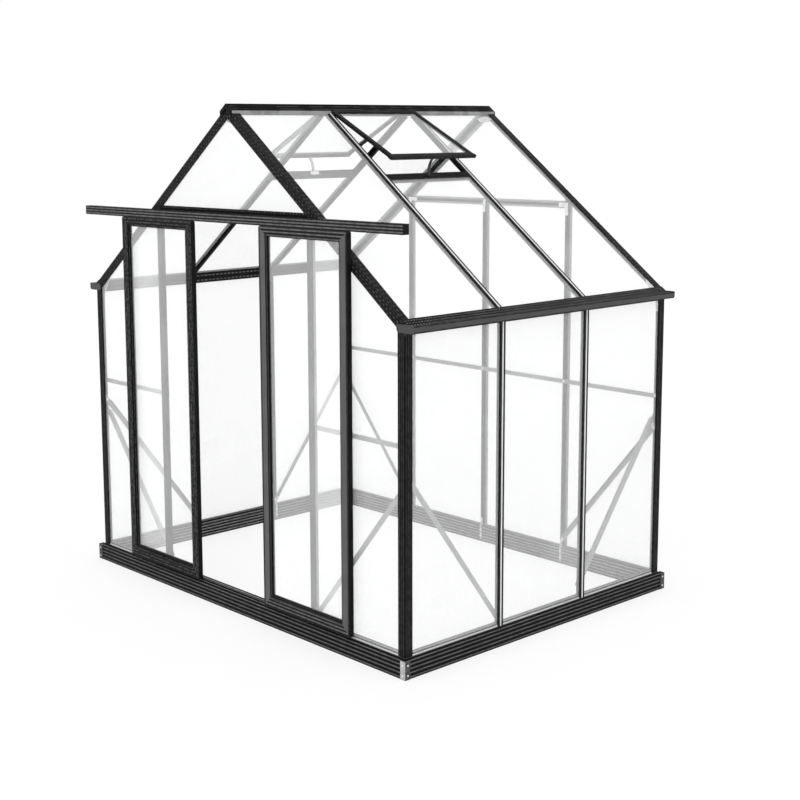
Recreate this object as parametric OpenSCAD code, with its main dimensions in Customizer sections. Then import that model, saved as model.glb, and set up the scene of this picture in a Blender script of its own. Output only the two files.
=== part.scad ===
// Polycarbonate greenhouse, four bays across the gable and three along the side.
// X runs across the gable, the doors face -Y, and the origin is on the ground under the middle.

/* [Overall] */
// Width of the base profile across the gable
base_w = 2565; // [2200:5:3100]
// Length of the base profile along the side walls
base_l = 1948; // [1620:2:2400]
// Height of the base
base_h = 102; // [84:1:125]
// Height of the roof surface at the side walls
eave_h = 1621; // [1480:1:1760]
// Height of the roof surface at the ridge
ridge_h = 2588; // [2420:1:2900]

/* [Frame] */
// Distance from the outside of the base to the outside of the wall frame
wall_inset = 24.5; // [20:0.5:30]
// Width of each leg of the corner posts and gable rafters
corner_w = 46; // [40:1:52]
// Width of the glazing bars between the corners
bar_w = 35; // [30:1:42]
// Depth of the bars, from outside to inside
bar_d = 30; // [28:1:40]
// Thickness of the outer face of the bars
cap_t = 6; // [4:0.5:7]
// Thickness of the web of the bars
web_t = 8; // [6:1:10]
// Height of the middle rails
mid_rail_h = 1060; // [900:10:1200]
// Width of the middle rails
mid_rail_w = 24; // [20:1:32]
// Height of the centre of the tie rail in the rear gable
tie_h = 2049; // [1960:1:2060]
// Height of the centre of the tie rail in the front gable, behind the door track
front_tie_h = 2063; // [1990:1:2075]
// Width of the tie rails
tie_w = 40; // [32:1:48]
// Width of the flat braces
brace_w = 26; // [16:1:28]
// Thickness of the flat braces and plates
brace_t = 3; // [2:0.5:4]
// Height where the gable braces meet the corner posts
brace_top = 900; // [780:10:1000]

/* [Glazing] */
// Thickness of the panels
pane_t = 4; // [3:0.5:4]
// Gap between a panel edge and the web beside it
pane_gap = 3; // [1:0.5:4]
// Clearance in front of and behind each panel where bars hold it
pane_seat = 0.2; // [0.1:0.1:0.5]

/* [Doors] */
// Width of each door
door_w = 640; // [630:1:645]
// Thickness of the door frame
door_t = 28; // [22:1:29]
// Gap between the wall and the back of the doors
door_gap = 8; // [7.5:0.5:9]
// Width of the door stiles
stile_w = 60; // [44:1:66]
// Width of the top rail of a door
door_top_w = 41; // [36:1:54]
// Width of the bottom rail of a door
door_bottom_w = 62; // [48:1:72]
// Distance from the middle of the front to each door's closing edge, as the doors stand
door_open = 280; // [20:5:600]
// Height of the underside of the track
track_z = 2014.5; // [1940:0.5:2020]
// Height of the track
track_h = 47.5; // [44:0.5:56]
// Depth of the track from the wall
track_d = 38.5; // [37:0.5:44]

/* [Roof vents] */
// Width of each vent
vent_w = 606; // [580:2:608]
// Length of each vent down the slope
vent_l = 514; // [460:2:620]
// Angle that each vent is propped open
vent_open = 10; // [6:1:14]
// Thickness of the vent frame
vent_t = 16; // [14:1:26]

/* [Gutter] */
// Distance that the gutter stands out from the side wall
gutter_out = 58; // [50:1:80]
// Length that the gutter runs past the wall at each end
gutter_past = 2; // [0:1:30]

/* [Hidden] */
$fn = 32;

black = [0.09, 0.09, 0.10];
aluminium = [0.80, 0.81, 0.82];
clear = [0.86, 0.90, 0.92, 0.35];
pale = [0.75, 0.76, 0.77];

// Half sizes of the wall frame, outside to outside
wall_x = base_w / 2 - wall_inset;
wall_y = base_l / 2 - wall_inset;

// Roof slope: fall for each millimetre outwards, and the vertical height of a millimetre of depth
fall = (ridge_h - eave_h) / wall_x;
steep = sqrt(1 + fall * fall);

// Centre lines of the bars that divide the walls and roof into bays
gable_bays = 4;
side_bays = 3;
gable_pitch = (2 * wall_x - corner_w) / gable_bays;
side_pitch = (2 * wall_y - corner_w) / side_bays;
jamb_x = gable_pitch;
side_y = side_pitch / 2;

// Base profile
sill_drop = 10;
sill_h = base_h - sill_drop;
base_shoulder = 8;
shoulder_in = 3;
base_ledge = 38;
base_depth = wall_inset + base_ledge;
rib_n = 4;
inner_rib_n = 5;
rib_h = 7;
rib_d = 2.5;
rib_slope = 2;
rib_start = 4;
inner_rib_start = 8;
bracket_t = 2.5;
bracket_w = 30;
bracket_h = 88;

// Corner bars: a block behind the panels keeps the two outer legs together
core_in = 24;
core_back = 12;
flange_w = 18;
flange_t = 4;

// The ridge and eave bars end this far inside the gables, clear of the rafters and their plates
end_clear = max(corner_w, bar_d + brace_t + 1);
tie_clear = 1.5;

// Panels lie behind the outer faces of the bars, between these two depths
pane_front = cap_t + pane_seat;
pane_back = pane_front + pane_t;
// What carries a panel from behind starts at this depth
pane_rest = pane_back + pane_seat;
edge_at_bar = web_t / 2 + pane_gap;
edge_at_corner = core_in + pane_gap;

// Eave bar and gutter
eave_t = bar_d;
eave_tuck = 20;
eave_foot = roof_z(wall_x - pane_back, bar_d) - eave_tuck;
drip = 17;
gutter_drop = 12;
gutter_floor = roof_z(wall_x + drip, pane_back) - gutter_drop;
gutter_wall = 3;
gutter_rise = -2;
gutter_lip = eave_h + gutter_rise;
gutter_inner = 16;
gutter_bevel = 10;
gutter_bevel_h = 12;
gutter_lean = 1;
gutter_fillet = 4;
gutter_end_t = 2;

// Capping over the lower edge of the roof panels
capping_t = 4;
capping_in = 19;
capping_x = wall_x - capping_in;

// Clearance under the strips and cappings that lie on the sloping bars
slope_seat = 0.05;

// Ridge
mitre_gap = 0.3;
ridge_cap_t = 11;
ridge_cap_w = 45;
ridge_lip = 7;
ridge_half = 20;
ridge_bar_h = 43;
ridge_foot = ridge_h - ridge_bar_h;
ridge_past = 4;
pane_start = 25;

// Cap strips
strip_w = 9;
strip_t = 3;

// Doors
door_clear = 6;
door_bottom = base_h + door_clear;
track_clear = 6;
door_top = track_z - track_clear;
door_front = door_gap + door_t;
door_lip = 12;
door_lip_set = 6;
door_back_set = 2;
door_pane_set = 10;
door_pane_y = door_gap + door_pane_set;
track_wall = 3;
track_slot = 15.5;
track_floor = 6;
slot_mid = track_d / 2;
wheel_r = 12;
wheel_w = 24;
wheel_gap = 0.3;
hanger_t = 3;
hanger_w = 60;
hanger_neck_w = 16;
hanger_rise = 3;
hanger_in = 110;

// Vents
vent_slope = atan(fall) - vent_open;
vent_fall = tan(vent_slope);
vent_steep = 1 / cos(vent_slope);
vent_bar = 24;
vent_pane_set = 10;
vent_gap = 0.3;
vent_x0 = ridge_cap_w + vent_gap;
vent_x1 = vent_x0 + vent_l * cos(vent_slope);
vent_foot_z = roof_z(ridge_cap_w, 0) + vent_gap;
vent_shut_x = vent_x0 + vent_l * cos(atan(fall));
sill_in = 7;
sill_out = 21;
sill_x0 = vent_shut_x - sill_in;
sill_x1 = vent_shut_x + sill_out;
sill_d = 20;
stay_w = 18;
stay_t = 6;
stay_x0 = (sill_x0 + sill_x1) / 2;
stay_x1 = vent_x1 - vent_bar / 2;

// Braces, middle rails and plates inside the frame
mid_rail_in = 1;
brace_foot = 32;
brace_in = 6;
side_brace_rise = 60;
plate_t = 2;
plate_in = 2;
ridge_plate_x = 56;
ridge_arm = 20;
ridge_arm_drop = 18;
ridge_plate_foot = 4;
eave_plate_x = 98;
eave_plate_foot = 60;
eave_corner_x = 6;
eave_corner_z = 8;

// Height of a line that lies d below the roof surface, x out from the middle
function roof_z(x, d) = ridge_h - fall * x - d * steep;
// Height of a line that lies d above the underside of a propped vent
function vent_z(x, d) = vent_foot_z - vent_fall * (x - vent_x0) + d * vent_steep;

// Extrudes an outline drawn in X and Z from y1 to y2
module along_y(y1, y2) {
    translate([0, y2, 0]) rotate([90, 0, 0]) linear_extrude(y2 - y1) children();
}

// Extrudes an outline drawn in depth from the face and Z, along X
module along_x(x1, x2) {
    translate([x1, 0, 0]) rotate([90, 0, 90]) linear_extrude(x2 - x1) children();
}

// A box from one corner to the other
module block(a, b) {
    translate(a) cube(b - a);
}

// Children at +X and mirrored to -X
module both_sides() {
    children();
    mirror([1, 0, 0]) children();
}

// Children at +Y and mirrored to -Y
module both_ends() {
    children();
    mirror([0, 1, 0]) children();
}

// A piece of the right-hand slope between two depths, cut upright at both ends
module slope_piece(x1, x2, d1, d2, y1, y2) {
    along_y(y1, y2) polygon([
        [x1, roof_z(x1, d1)], [x2, roof_z(x2, d1)], [x2, roof_z(x2, d2)], [x1, roof_z(x1, d2)]
    ]);
}

// Everything under the surface that lies d below the roof, on both sides of the ridge
module under_roof(d, y1, y2) {
    x = wall_x + 1;
    along_y(y1, y2) polygon([
        [-x, 0], [-x, roof_z(x, d)], [0, roof_z(0, d)], [x, roof_z(x, d)], [x, 0]
    ]);
}

// Base: the outline in depth from the outside, ribs on the outer and inner faces
function rib_points(face, out, z0, pitch, n) = [
    for (i = [0 : n - 1]) for (p = [
        [face, z0 + i * pitch], [face + out, z0 + i * pitch + rib_slope],
        [face + out, z0 + i * pitch + rib_h], [face, z0 + i * pitch + rib_h + rib_slope]
    ]) p
];
function reversed(list) = [for (i = [len(list) - 1 : -1 : 0]) list[i]];
rib_pitch = (sill_h - base_shoulder - rib_start) / rib_n;
inner_rib_pitch = (base_h - inner_rib_start - rib_start) / inner_rib_n;

module base_outline() {
    polygon(concat(
        [[0, 0]],
        rib_points(0, rib_d, rib_start, rib_pitch, rib_n),
        [[0, sill_h - base_shoulder], [wall_inset - shoulder_in, sill_h], [wall_inset + cap_t, sill_h]],
        [[wall_inset + cap_t, base_h], [base_depth, base_h]],
        reversed(rib_points(base_depth, -rib_d, inner_rib_start, inner_rib_pitch, inner_rib_n)),
        [[base_depth, 0]]
    ));
}

// One side of the base, mitred at both ends, drawn along X with its outside towards -Y
module base_side(len, off) {
    intersection() {
        translate([0, -off, 0]) along_x(-len / 2, len / 2) base_outline();
        linear_extrude(base_h) polygon([
            [-len / 2, -off], [len / 2, -off],
            [len / 2 - base_depth, -off + base_depth], [-len / 2 + base_depth, -off + base_depth]
        ]);
    }
}

module base_front() {
    color(black) base_side(base_w, base_l / 2);
}

module base_rear() {
    color(black) rotate([0, 0, 180]) base_side(base_w, base_l / 2);
}

module base_right() {
    color(black) rotate([0, 0, 90]) base_side(base_l, base_w / 2);
}

module base_left() {
    color(black) rotate([0, 0, -90]) base_side(base_l, base_w / 2);
}

module base_corner_brackets() {
    x = base_w / 2;
    y = base_l / 2;
    color(aluminium) both_sides() both_ends() difference() {
        block([x - bracket_w, y - bracket_w, 0], [x + bracket_t, y + bracket_t, bracket_h]);
        block([x - bracket_w - 1, y - bracket_w - 1, -1], [x, y, bracket_h + 1]);
    }
}

// Section of the part of a corner bar inside its legs, outer corner at the origin
module corner_core() {
    translate([cap_t, cap_t]) square(core_in - cap_t);
    translate([core_back, core_back]) square(bar_d - core_back);
}

// A corner post at +X +Y. Its legs stand on the step of the base and its head is cut to the rafter.
module corner_post() {
    intersection() {
        block([wall_x - corner_w, wall_y - cap_t, sill_h], [wall_x, wall_y, eave_h]);
        under_roof(corner_w, wall_y - cap_t - 1, wall_y + 1);
    }
    intersection() {
        block([wall_x - cap_t, wall_y - corner_w, sill_h], [wall_x, wall_y - cap_t, eave_h]);
        under_roof(pane_rest, wall_y - corner_w - 1, wall_y);
    }
    intersection() {
        translate([wall_x, wall_y, base_h]) rotate([0, 0, 180]) linear_extrude(eave_h) corner_core();
        under_roof(bar_d, wall_y - bar_d - 1, wall_y);
    }
}

module corner_posts() {
    color(black) both_sides() both_ends() corner_post();
}

// An upright glazing bar in the wall at +Y, centred at x, with its outer face and its inside apart
module gable_bar_face(x, z_top) {
    block([x - bar_w / 2, wall_y - cap_t, sill_h], [x + bar_w / 2, wall_y, z_top]);
}

module gable_bar_inside(x, z_top) {
    block([x - web_t / 2, wall_y - bar_d, base_h], [x + web_t / 2, wall_y - cap_t, z_top]);
    block([x - flange_w / 2, wall_y - bar_d, base_h], [x + flange_w / 2, wall_y - bar_d + flange_t, z_top]);
}

// An upright glazing bar in the side wall at +X, centred on y = 0
module side_bar(z_top) {
    block([wall_x - cap_t, -bar_w / 2, sill_h], [wall_x, bar_w / 2, z_top]);
    block([wall_x - bar_d, -web_t / 2, base_h], [wall_x - cap_t, web_t / 2, z_top]);
    block([wall_x - bar_d, -flange_w / 2, base_h], [wall_x - bar_d + flange_t, flange_w / 2, z_top]);
}

module right_wall_posts() {
    color(black) both_ends() translate([0, side_y, 0]) side_bar(eave_foot);
}

module left_wall_posts() {
    mirror([1, 0, 0]) right_wall_posts();
}

// The pair of gable bars that reach up to the rafters
module tall_gable_bars() {
    both_sides() {
        intersection() {
            gable_bar_face(jamb_x, ridge_h);
            under_roof(corner_w, wall_y - cap_t - 1, wall_y + 1);
        }
        intersection() {
            gable_bar_inside(jamb_x, ridge_h);
            under_roof(bar_d, wall_y - bar_d - 1, wall_y);
        }
    }
}

module door_jambs() {
    color(black) mirror([0, 1, 0]) tall_gable_bars();
}

module rear_studs() {
    color(black) {
        tall_gable_bars();
        gable_bar_face(0, tie_h - tie_w / 2);
        gable_bar_inside(0, tie_h - tie_w / 2);
    }
}

// The level rail across the gable at +Y, its ends cut just clear of the rafters
module tie_rail(z) {
    half = tie_w / 2;
    face_x = jamb_x - bar_w / 2;
    web_x = jamb_x - web_t / 2;
    intersection() {
        block([-face_x, wall_y - cap_t, z - half], [face_x, wall_y, z + half]);
        under_roof(corner_w + tie_clear, wall_y - cap_t - 1, wall_y + 1);
    }
    block([-web_x, wall_y - bar_d + flange_t, z - web_t / 2], [web_x, wall_y - cap_t, z + web_t / 2]);
}

module front_tie_rail() {
    color(black) mirror([0, 1, 0]) tie_rail(front_tie_h);
}

module rear_tie_rail() {
    color(black) tie_rail(tie_h);
}

// A flat rail on the inner faces of the bars at +Y, from x to the corner post
module middle_rail(x) {
    block([x, wall_y - bar_d - brace_t, mid_rail_h - mid_rail_w / 2],
        [wall_x - core_back - mid_rail_in, wall_y - bar_d, mid_rail_h + mid_rail_w / 2]);
}

module front_middle_rails() {
    color(aluminium) mirror([0, 1, 0]) both_sides() middle_rail(jamb_x - flange_w / 2);
}

module rear_middle_rail() {
    color(aluminium) both_sides() middle_rail(0);
}

// Eave bar under the edge of the roof panels, and the gutter outside it
module eave_bar_outline() {
    polygon([
        [wall_x - eave_t, eave_foot], [wall_x, eave_foot], [wall_x, roof_z(wall_x, pane_rest)],
        [wall_x - eave_t, roof_z(wall_x - eave_t, pane_rest)]
    ]);
}

module gutter_outline() {
    out = wall_x + gutter_out;
    polygon([
        [wall_x, gutter_floor + gutter_inner], [wall_x + gutter_wall, gutter_floor + gutter_inner],
        [wall_x + gutter_wall, gutter_floor + gutter_wall],
        [out - gutter_bevel - gutter_fillet, gutter_floor + gutter_wall],
        [out - gutter_wall - gutter_fillet, gutter_floor + gutter_bevel_h], [out - gutter_wall, gutter_lip],
        [out, gutter_lip], [out - gutter_lean, gutter_floor + gutter_bevel_h],
        [out - gutter_bevel, gutter_floor], [wall_x, gutter_floor]
    ]);
}

module gutter_end_outline() {
    out = wall_x + gutter_out;
    polygon([
        [wall_x, gutter_floor + gutter_inner], [wall_x + drip, gutter_lip - gutter_wall], [out, gutter_lip],
        [out - gutter_lean, gutter_floor + gutter_bevel_h], [out - gutter_bevel, gutter_floor],
        [wall_x, gutter_floor]
    ]);
}

module right_eave_gutter() {
    long = wall_y + gutter_past;
    color(black) {
        along_y(-wall_y + end_clear, wall_y - end_clear) eave_bar_outline();
        along_y(-long, long) gutter_outline();
        both_ends() along_y(long - gutter_end_t, long) gutter_end_outline();
    }
}

module left_eave_gutter() {
    mirror([1, 0, 0]) right_eave_gutter();
}

// Capping on the ends of the rafters, with a lip on the panels of each bay
module right_capping() {
    x2 = wall_x + drip;
    bar_edge = side_y + bar_w / 2;
    slope_piece(capping_x, x2, -capping_t, -slope_seat, -wall_y, wall_y);
    slope_piece(capping_x, x2, -1, cap_t, -side_y + bar_w / 2, side_y - bar_w / 2);
    both_ends() slope_piece(capping_x, x2, -1, cap_t, bar_edge, wall_y - corner_w);
}

module eave_cappings() {
    color(black) both_sides() right_capping();
}

// Half of the ridge bar: cap over the rafters, lip on the panels, and the bar between the rafters
module ridge_half_bar() {
    along_y(-wall_y - ridge_past, wall_y + ridge_past) polygon([
        [0, roof_z(0, 0)], [ridge_cap_w, roof_z(ridge_cap_w, 0)],
        [ridge_cap_w, roof_z(ridge_cap_w, -ridge_cap_t)], [0, roof_z(0, -ridge_cap_t)]
    ]);
    slope_piece(ridge_cap_w - ridge_lip, ridge_cap_w, -1, cap_t, -wall_y + corner_w, wall_y - corner_w);
    along_y(-wall_y + end_clear, wall_y - end_clear) polygon([
        [0, ridge_foot], [ridge_half, ridge_foot], [ridge_half, roof_z(ridge_half, -1)],
        [0, roof_z(0, -1)]
    ]);
}

module ridge_bar() {
    color(black) both_sides() ridge_half_bar();
}

// The right-hand gable rafter at +Y
module gable_rafter() {
    x = mitre_gap / 2;
    slope_piece(x, wall_x, 0, corner_w, wall_y - cap_t, wall_y);
    slope_piece(x, wall_x + drip, 0, cap_t, wall_y - corner_w, wall_y - cap_t);
    slope_piece(x, wall_x - cap_t, cap_t - 1, core_in, wall_y - core_in, wall_y - cap_t + 1);
    slope_piece(x, wall_x - cap_t, core_back, bar_d, wall_y - bar_d, wall_y - core_back);
}

module rear_gable_rafters() {
    color(black) both_sides() gable_rafter();
}

module front_gable_rafters() {
    mirror([0, 1, 0]) rear_gable_rafters();
}

// A rafter of the right-hand slope, centred on y = 0
module roof_rafter() {
    foot = wall_x - eave_t;
    slope_piece(ridge_cap_w, wall_x + drip, 0, cap_t, -bar_w / 2, bar_w / 2);
    slope_piece(ridge_cap_w, foot, cap_t - 1, cap_t + 1, -web_t / 2, web_t / 2);
    slope_piece(ridge_half, foot, cap_t, bar_d, -web_t / 2, web_t / 2);
    slope_piece(ridge_half, foot, bar_d - flange_t, bar_d, -flange_w / 2, flange_w / 2);
}

module right_roof_rafters() {
    color(black) both_ends() translate([0, side_y, 0]) roof_rafter();
}

module left_roof_rafters() {
    mirror([1, 0, 0]) right_roof_rafters();
}

module bar_cap_strips() {
    color(pale) both_sides() both_ends() translate([0, side_y, 0]) {
        block([wall_x, -strip_w / 2, sill_h], [wall_x + strip_t, strip_w / 2, gutter_floor]);
        slope_piece(ridge_cap_w, capping_x, -strip_t, -slope_seat, -strip_w / 2, strip_w / 2);
    }
}

// A flat brace drawn in X and Z, from the post at x1 down to the foot of the bar at x2
module brace_outline(x1, x2, top) {
    run = abs(x1 - x2);
    foot = base_h + brace_foot;
    slant = brace_w / 2 * sqrt(1 + pow((top - foot) / run, 2));
    polygon([[x1, top - slant], [x1, top + slant], [x2, foot + slant], [x2, foot - slant]]);
}

module wall_braces() {
    hold = (core_back + bar_d) / 2;
    color(aluminium) both_sides() both_ends() {
        along_y(wall_y - bar_d - brace_t, wall_y - bar_d)
            brace_outline(wall_x - hold + brace_in, jamb_x, brace_top);
        translate([wall_x - bar_d - brace_t, 0, 0]) rotate([90, 0, 90]) linear_extrude(brace_t)
            brace_outline(wall_y - hold + brace_in, side_y, brace_top + side_brace_rise);
    }
}

// Plates inside the gable at +Y: one at the ridge and one at each eave
module ridge_plate() {
    high = roof_z(ridge_plate_x, core_back + plate_in);
    arm_x = ridge_plate_x - ridge_arm;
    along_y(wall_y - bar_d - plate_t, wall_y - bar_d) polygon([
        [-arm_x, high - ridge_arm_drop], [arm_x, high - ridge_arm_drop], [ridge_plate_x, high],
        [0, ridge_foot - ridge_plate_foot], [-ridge_plate_x, high]
    ]);
}

module eave_plate() {
    out = wall_x - core_back - plate_in;
    inner = wall_x - bar_d + plate_in;
    up = wall_x - eave_plate_x;
    foot = eave_foot - eave_plate_foot;
    along_y(wall_y - bar_d - plate_t, wall_y - bar_d) polygon([
        [inner, foot], [out, foot], [out, roof_z(out, core_back + plate_in)],
        [up, roof_z(up, core_back + plate_in)], [up, roof_z(up, bar_d - plate_in)],
        [inner - eave_corner_x, eave_foot - eave_corner_z]
    ]);
}

module gable_plates() {
    color(aluminium) both_ends() {
        ridge_plate();
        both_sides() eave_plate();
    }
}

// Panels of the wall at +Y
module gable_pane(points) {
    along_y(wall_y - pane_back, wall_y - pane_front) polygon(points);
}

pane_x0 = jamb_x + edge_at_bar;
pane_x1 = wall_x - edge_at_corner;

// Over the tie rail at height tie
module gable_top_pane(tie) {
    x = jamb_x - edge_at_bar;
    z = tie + edge_at_bar;
    gable_pane([
        [-x, z], [x, z], [x, roof_z(x, edge_at_corner)], [0, roof_z(0, edge_at_corner)],
        [-x, roof_z(x, edge_at_corner)]
    ]);
}

// Between the bar at jamb_x and the corner post
module gable_outer_pane() {
    gable_pane([
        [pane_x0, base_h], [pane_x1, base_h],
        [pane_x1, roof_z(pane_x1, edge_at_corner)], [pane_x0, roof_z(pane_x0, edge_at_corner)]
    ]);
}

module front_panels() {
    color(clear) mirror([0, 1, 0]) {
        gable_top_pane(front_tie_h);
        both_sides() gable_outer_pane();
    }
}

module rear_panels() {
    top = tie_h - edge_at_bar;
    color(clear) {
        gable_top_pane(tie_h);
        both_sides() {
            gable_outer_pane();
            gable_pane([
                [edge_at_bar, base_h], [jamb_x - edge_at_bar, base_h],
                [jamb_x - edge_at_bar, top], [edge_at_bar, top]
            ]);
        }
    }
}

// Ends of the panels in the middle and outer bays of the side walls and roof
mid_y = side_y - edge_at_bar;
outer_y0 = side_y + edge_at_bar;
outer_y1 = wall_y - edge_at_corner;

module right_wall_panels() {
    x = wall_x - pane_back;
    color(clear) {
        block([x, -mid_y, base_h], [x + pane_t, mid_y, eave_foot]);
        both_ends() block([x, outer_y0, base_h], [x + pane_t, outer_y1, eave_foot]);
    }
}

module left_wall_panels() {
    mirror([1, 0, 0]) right_wall_panels();
}

module right_roof_panels() {
    color(clear) {
        slope_piece(sill_x1, wall_x + drip, pane_front, pane_back, -mid_y, mid_y);
        both_ends() slope_piece(pane_start, wall_x + drip, pane_front, pane_back, outer_y0, outer_y1);
    }
}

module left_roof_panels() {
    mirror([1, 0, 0]) right_roof_panels();
}

module vent_sills() {
    between_caps = side_y - bar_w / 2;
    between_webs = side_y - web_t / 2;
    color(black) both_sides() {
        slope_piece(sill_x0, sill_x1, 0, sill_d, -between_caps, between_caps);
        slope_piece(sill_x0, sill_x1, pane_front, sill_d, -between_webs, between_webs);
    }
}

// A piece of the right-hand vent between two heights above its underside
module vent_piece(x1, x2, d1, d2, y1, y2) {
    along_y(y1, y2) polygon([
        [x1, vent_z(x1, d1)], [x2, vent_z(x2, d1)], [x2, vent_z(x2, d2)], [x1, vent_z(x1, d2)]
    ]);
}

module vent_side_bars() {
    color(black) both_sides() both_ends()
        vent_piece(vent_x0, vent_x1, 0, vent_t, vent_w / 2 - vent_bar, vent_w / 2);
}

module vent_end_bars() {
    half = vent_w / 2 - vent_bar;
    color(black) both_sides() {
        vent_piece(vent_x0, vent_x0 + vent_bar, 0, vent_t, -half, half);
        vent_piece(vent_x1 - vent_bar, vent_x1, 0, vent_t, -half, half);
    }
}

module vent_panels() {
    half = vent_w / 2 - vent_bar;
    low = vent_t - vent_pane_set;
    color(clear) both_sides()
        vent_piece(vent_x0 + vent_bar, vent_x1 - vent_bar, low, low + pane_t, -half, half);
}

// Each stay leans outwards from the middle of the sill to the middle of the vent's lower bar
module vent_stays() {
    half = stay_t / 2;
    color(aluminium) both_sides() along_y(-stay_w / 2, stay_w / 2) polygon([
        [stay_x0 - half, roof_z(stay_x0 - half, -pane_seat)],
        [stay_x0 + half, roof_z(stay_x0 + half, -pane_seat)],
        [stay_x1 + half, vent_z(stay_x1 + half, -pane_seat)],
        [stay_x1 - half, vent_z(stay_x1 - half, -pane_seat)]
    ]);
}

// Track across the front, open along its underside for the hangers, with a cap at each end
module track_outline() {
    difference() {
        square([track_d, track_h]);
        translate([track_wall, track_floor])
            square([track_d - 2 * track_wall, track_h - track_floor - track_wall]);
        translate([slot_mid - track_slot / 2, -1]) square([track_slot, track_floor + 2]);
    }
}

module door_track() {
    end = base_w / 2;
    color(black) mirror([0, 1, 0]) {
        translate([0, wall_y, track_z]) along_x(-end, end) track_outline();
        both_sides() block([end - track_wall, wall_y, track_z],
            [end + bracket_t, wall_y + track_d, track_z + track_h]);
    }
}

// Doors, drawn for the right-hand one. Its closing edge is at x = door_open.
module door_ring_piece(points, y1, y2) {
    along_y(-wall_y - y2, -wall_y - y1) translate([door_open, door_bottom]) polygon(points);
}

door_h = door_top - door_bottom;

// Corner k of the rectangle that lies s in from the stiles, t up from the bottom and u down from the top
function ring_corner(k, s, t, u) = [
    k == 0 || k == 3 ? s : door_w - s,
    k < 2 ? t : door_h - u
];

// Side k of the door frame, mitred, between two such rectangles given by their shares of the frame widths
function ring_side(k, a, b) = [
    ring_corner(k, a * stile_w, a * door_bottom_w, a * door_top_w),
    ring_corner((k + 1) % 4, a * stile_w, a * door_bottom_w, a * door_top_w),
    ring_corner((k + 1) % 4, b * stile_w, b * door_bottom_w, b * door_top_w),
    ring_corner(k, b * stile_w, b * door_bottom_w, b * door_top_w)
];
lip_share = 1 - door_lip / stile_w;

module door_bars(sides) {
    for (k = sides) {
        door_ring_piece(ring_side(k, 0, lip_share), door_gap, door_front);
        door_ring_piece(ring_side(k, lip_share, 1), door_gap + door_back_set, door_front - door_lip_set);
    }
}

module right_door_stiles() {
    color(black) door_bars([1, 3]);
}

module right_door_rails() {
    color(black) door_bars([0, 2]);
}

module right_door_panel() {
    corners = [for (k = [0 : 3]) ring_corner(k, stile_w, door_bottom_w, door_top_w)];
    color(clear) door_ring_piece(corners, door_pane_y, door_pane_y + pane_t);
}

module right_door_hangers() {
    y = wall_y + slot_mid;
    neck_z = track_z + hanger_rise;
    axle_z = track_z + track_floor + wheel_gap + wheel_r;
    color(aluminium) mirror([0, 1, 0]) for (x = [hanger_in, door_w - hanger_in])
        translate([door_open + x, y, 0]) {
            block([-hanger_w / 2, -hanger_t / 2, door_top], [hanger_w / 2, hanger_t / 2, neck_z]);
            block([-hanger_neck_w / 2, -hanger_t / 2, neck_z], [hanger_neck_w / 2, hanger_t / 2, axle_z]);
            translate([0, 0, axle_z]) rotate([90, 0, 0]) cylinder(r = wheel_r, h = wheel_w, center = true);
        }
}

module left_door_stiles() {
    mirror([1, 0, 0]) right_door_stiles();
}

module left_door_rails() {
    mirror([1, 0, 0]) right_door_rails();
}

module left_door_panel() {
    mirror([1, 0, 0]) right_door_panel();
}

module left_door_hangers() {
    mirror([1, 0, 0]) right_door_hangers();
}

base_front();
base_rear();
base_left();
base_right();
base_corner_brackets();
corner_posts();
left_wall_posts();
right_wall_posts();
door_jambs();
rear_studs();
front_tie_rail();
rear_tie_rail();
front_middle_rails();
rear_middle_rail();
left_eave_gutter();
right_eave_gutter();
eave_cappings();
ridge_bar();
front_gable_rafters();
rear_gable_rafters();
left_roof_rafters();
right_roof_rafters();
bar_cap_strips();
wall_braces();
gable_plates();
front_panels();
rear_panels();
left_wall_panels();
right_wall_panels();
left_roof_panels();
right_roof_panels();
vent_sills();
vent_side_bars();
vent_end_bars();
vent_panels();
vent_stays();
door_track();
left_door_stiles();
left_door_rails();
left_door_panel();
left_door_hangers();
right_door_stiles();
right_door_rails();
right_door_panel();
right_door_hangers();
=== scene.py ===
# Polycarbonate greenhouse: finishes, fittings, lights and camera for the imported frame.
import math

import bmesh
import bpy
from mathutils import Matrix, Vector


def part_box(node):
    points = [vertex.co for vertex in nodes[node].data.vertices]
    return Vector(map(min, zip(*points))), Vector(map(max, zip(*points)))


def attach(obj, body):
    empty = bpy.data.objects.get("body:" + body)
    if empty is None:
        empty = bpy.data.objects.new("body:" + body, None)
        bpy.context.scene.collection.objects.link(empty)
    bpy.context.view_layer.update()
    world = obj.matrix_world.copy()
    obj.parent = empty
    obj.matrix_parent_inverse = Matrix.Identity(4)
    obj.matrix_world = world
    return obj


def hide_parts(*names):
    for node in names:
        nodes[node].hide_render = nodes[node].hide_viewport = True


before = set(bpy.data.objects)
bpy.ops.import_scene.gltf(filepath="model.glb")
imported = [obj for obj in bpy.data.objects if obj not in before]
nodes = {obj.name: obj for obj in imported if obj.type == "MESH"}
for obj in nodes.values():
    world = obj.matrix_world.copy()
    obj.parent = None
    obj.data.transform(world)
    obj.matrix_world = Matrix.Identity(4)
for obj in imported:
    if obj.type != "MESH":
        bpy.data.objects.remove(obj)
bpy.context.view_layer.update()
bpy.ops.object.select_all(action="DESELECT")
print("frame loaded:", len(nodes), "nodes")


def corners(name):
    low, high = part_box(name)
    return Vector(low), Vector(high)


def points(name):
    return [vertex.co for vertex in nodes[name].data.vertices]


def middleHeight(name):
    low, high = corners(name)
    return (low.z + high.z) / 2


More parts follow.
